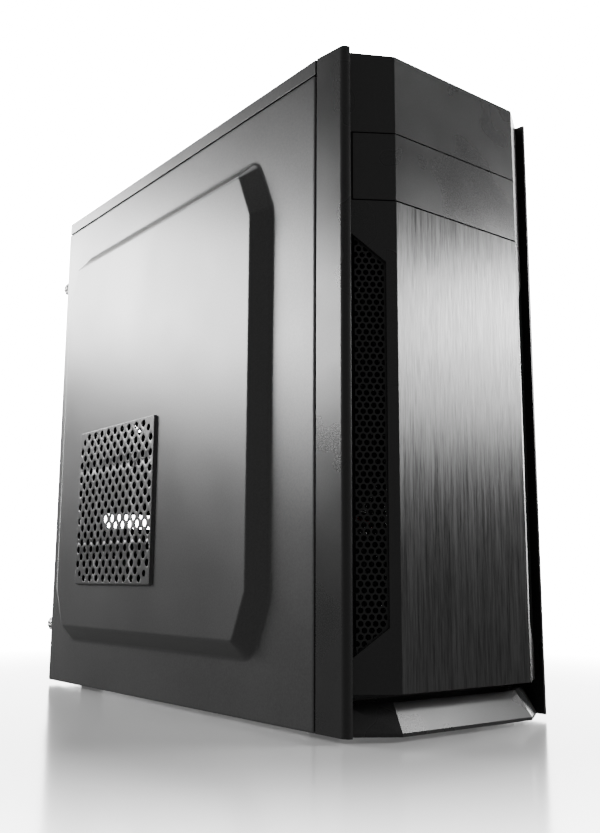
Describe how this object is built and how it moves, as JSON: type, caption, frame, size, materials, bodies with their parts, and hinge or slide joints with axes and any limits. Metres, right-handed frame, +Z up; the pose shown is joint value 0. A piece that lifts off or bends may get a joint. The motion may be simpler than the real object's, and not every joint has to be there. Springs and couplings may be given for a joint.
{
  "type": "desktop computer tower",
  "caption": "Black mid-tower desktop computer with raised side panels, a perforated side vent, brushed front plate, bay cover, buttons, fans, board, supply and drives.",
  "frame": {"origin": "on the floor, under the middle of the bounding box", "axes": "+Z up; the front faces -Y; the perforated left side panel faces -X"},
  "size_m": [0.1952, 0.409, 0.41],
  "materials": {
    "case_paint": "satin powder coat",
    "zinc_steel": "zinc plated",
    "bezel_plastic": "satin moulded plastic",
    "brushed_face": "vertical brushed, dark",
    "mesh_black": "matt black",
    "key_plastic": "satin",
    "light_pipe": "clear acrylic",
    "foot_rubber": "matt",
    "board_laminate": "solder resist",
    "brass_post": "turned",
    "bright_metal": "nickel plated",
    "fin_aluminium": "extruded",
    "black_plastic": "moulded",
    "ivory_plastic": "moulded",
    "psu_steel": "grey coat",
    "drive_case": "anodised",
    "cable_sleeve": "braided",
    "data_lead": "flat jacket"
  },
  "bodies": {
    "chassis": {"rear_panel": "case_paint", "base_pan": "case_paint", "top_cover": "case_paint", "front_frame": "case_paint", "board_tray": "case_paint", "optical_bay_cage": "case_paint", "drive_cage": "case_paint", "foot_pads": "foot_rubber", "motherboard": "board_laminate", "standoffs": "brass_post", "board_screws": "zinc_steel", "cpu_socket": "bright_metal", "cpu": "bright_metal", "heatsink": "fin_aluminium", "cpu_fan_frame": "black_plastic", "memory_slots": "black_plastic", "memory_modules": "board_laminate", "expansion_slots": "black_plastic", "chipset_heatsink": "fin_aluminium", "regulator_heatsink": "fin_aluminium", "capacitors": "fin_aluminium", "coin_cell": "bright_metal", "sata_sockets": "black_plastic", "power_sockets": "ivory_plastic", "rear_ports": "bright_metal", "port_shield": "zinc_steel", "slot_covers": "zinc_steel", "slot_screws": "zinc_steel", "rear_fan_frame": "black_plastic", "psu_case": "psu_steel", "psu_circuit": "board_laminate", "psu_fan_frame": "black_plastic", "psu_fan_guard": "zinc_steel", "mains_inlet": "black_plastic", "psu_screws": "zinc_steel", "hard_drive": "zinc_steel", "solid_state_drive": "drive_case", "power_cables": "cable_sleeve", "data_cables": "data_lead"},
    "left_side": {"left_panel": "case_paint"},
    "right_side": {"right_panel": "case_paint"},
    "left_upper_knob": {"left_screw_upper": "zinc_steel"},
    "left_lower_knob": {"left_screw_lower": "zinc_steel"},
    "right_upper_knob": {"right_screw_upper": "zinc_steel"},
    "right_lower_knob": {"right_screw_lower": "zinc_steel"},
    "bezel": {"bezel_frame": "bezel_plastic", "front_plate": "brushed_face", "left_intake_mesh": "mesh_black", "right_intake_mesh": "mesh_black", "indicator_lights": "light_pipe", "front_socket_board": "board_laminate", "front_usb_sockets": "bright_metal", "front_audio_jacks": "black_plastic"},
    "cover": {"bay_cover": "bezel_plastic"},
    "power_key": {"power_button": "key_plastic"},
    "reset_key": {"reset_button": "key_plastic"},
    "rocker": {"rocker_switch": "black_plastic"},
    "cpu_rotor": {"cpu_fan_rotor": "black_plastic"},
    "rear_rotor": {"rear_fan_rotor": "black_plastic"},
    "psu_rotor": {"psu_fan_rotor": "black_plastic"}
  },
  "joints": [
    {"name": "left_side_slide", "type": "slide", "parent": "chassis", "child": "left_side", "axis": [0, 1, 0], "range_m": [0, 0.018]},
    {"name": "left_upper_knob_turn", "type": "hinge", "parent": "left_side", "child": "left_upper_knob", "pos_m": [-0.0779, 0.1955, 0.351], "axis": [0, 1, 0], "continuous": true},
    {"name": "left_lower_knob_turn", "type": "hinge", "parent": "left_side", "child": "left_lower_knob", "pos_m": [-0.0779, 0.1955, 0.049], "axis": [0, 1, 0], "continuous": true},
    {"name": "right_side_slide", "type": "slide", "parent": "chassis", "child": "right_side", "axis": [0, 1, 0], "range_m": [0, 0.018]},
    {"name": "right_upper_knob_turn", "type": "hinge", "parent": "right_side", "child": "right_upper_knob", "pos_m": [0.0801, 0.1955, 0.351], "axis": [0, 1, 0], "continuous": true},
    {"name": "right_lower_knob_turn", "type": "hinge", "parent": "right_side", "child": "right_lower_knob", "pos_m": [0.0801, 0.1955, 0.049], "axis": [0, 1, 0], "continuous": true},
    {"name": "bezel_pull", "type": "slide", "parent": "chassis", "child": "bezel", "axis": [0, -1, 0], "range_m": [0, 0.06]},
    {"name": "cover_pull", "type": "slide", "parent": "bezel", "child": "cover", "axis": [0, -1, 0], "range_m": [0, 0.05]},
    {"name": "power_press", "type": "slide", "parent": "bezel", "child": "power_key", "axis": [0, 0.0925, -0.9957], "range_m": [0, 0.002], "stiffness_N_per_m": 400, "springref_m": -0.0003},
    {"name": "reset_press", "type": "slide", "parent": "bezel", "child": "reset_key", "axis": [0, 0.0925, -0.9957], "range_m": [0, 0.0018], "stiffness_N_per_m": 400, "springref_m": -0.0003},
    {"name": "rocker_tilt", "type": "hinge", "parent": "chassis", "child": "rocker", "pos_m": [-0.0469, 0.1934, 0.3885], "axis": [1, 0, 0], "range_deg": [-16, 0]},
    {"name": "cpu_fan_spin", "type": "hinge", "parent": "chassis", "child": "cpu_rotor", "pos_m": [0.02465, 0.0944, 0.2343], "axis": [1, 0, 0], "continuous": true},
    {"name": "rear_fan_spin", "type": "hinge", "parent": "chassis", "child": "rear_rotor", "pos_m": [-0.0278, 0.1934, 0.2603], "axis": [0, 1, 0], "continuous": true},
    {"name": "psu_fan_spin", "type": "hinge", "parent": "chassis", "child": "psu_rotor", "pos_m": [0.0011, 0.1234, 0.3205], "axis": [0, 0, 1], "continuous": true}
  ]
}
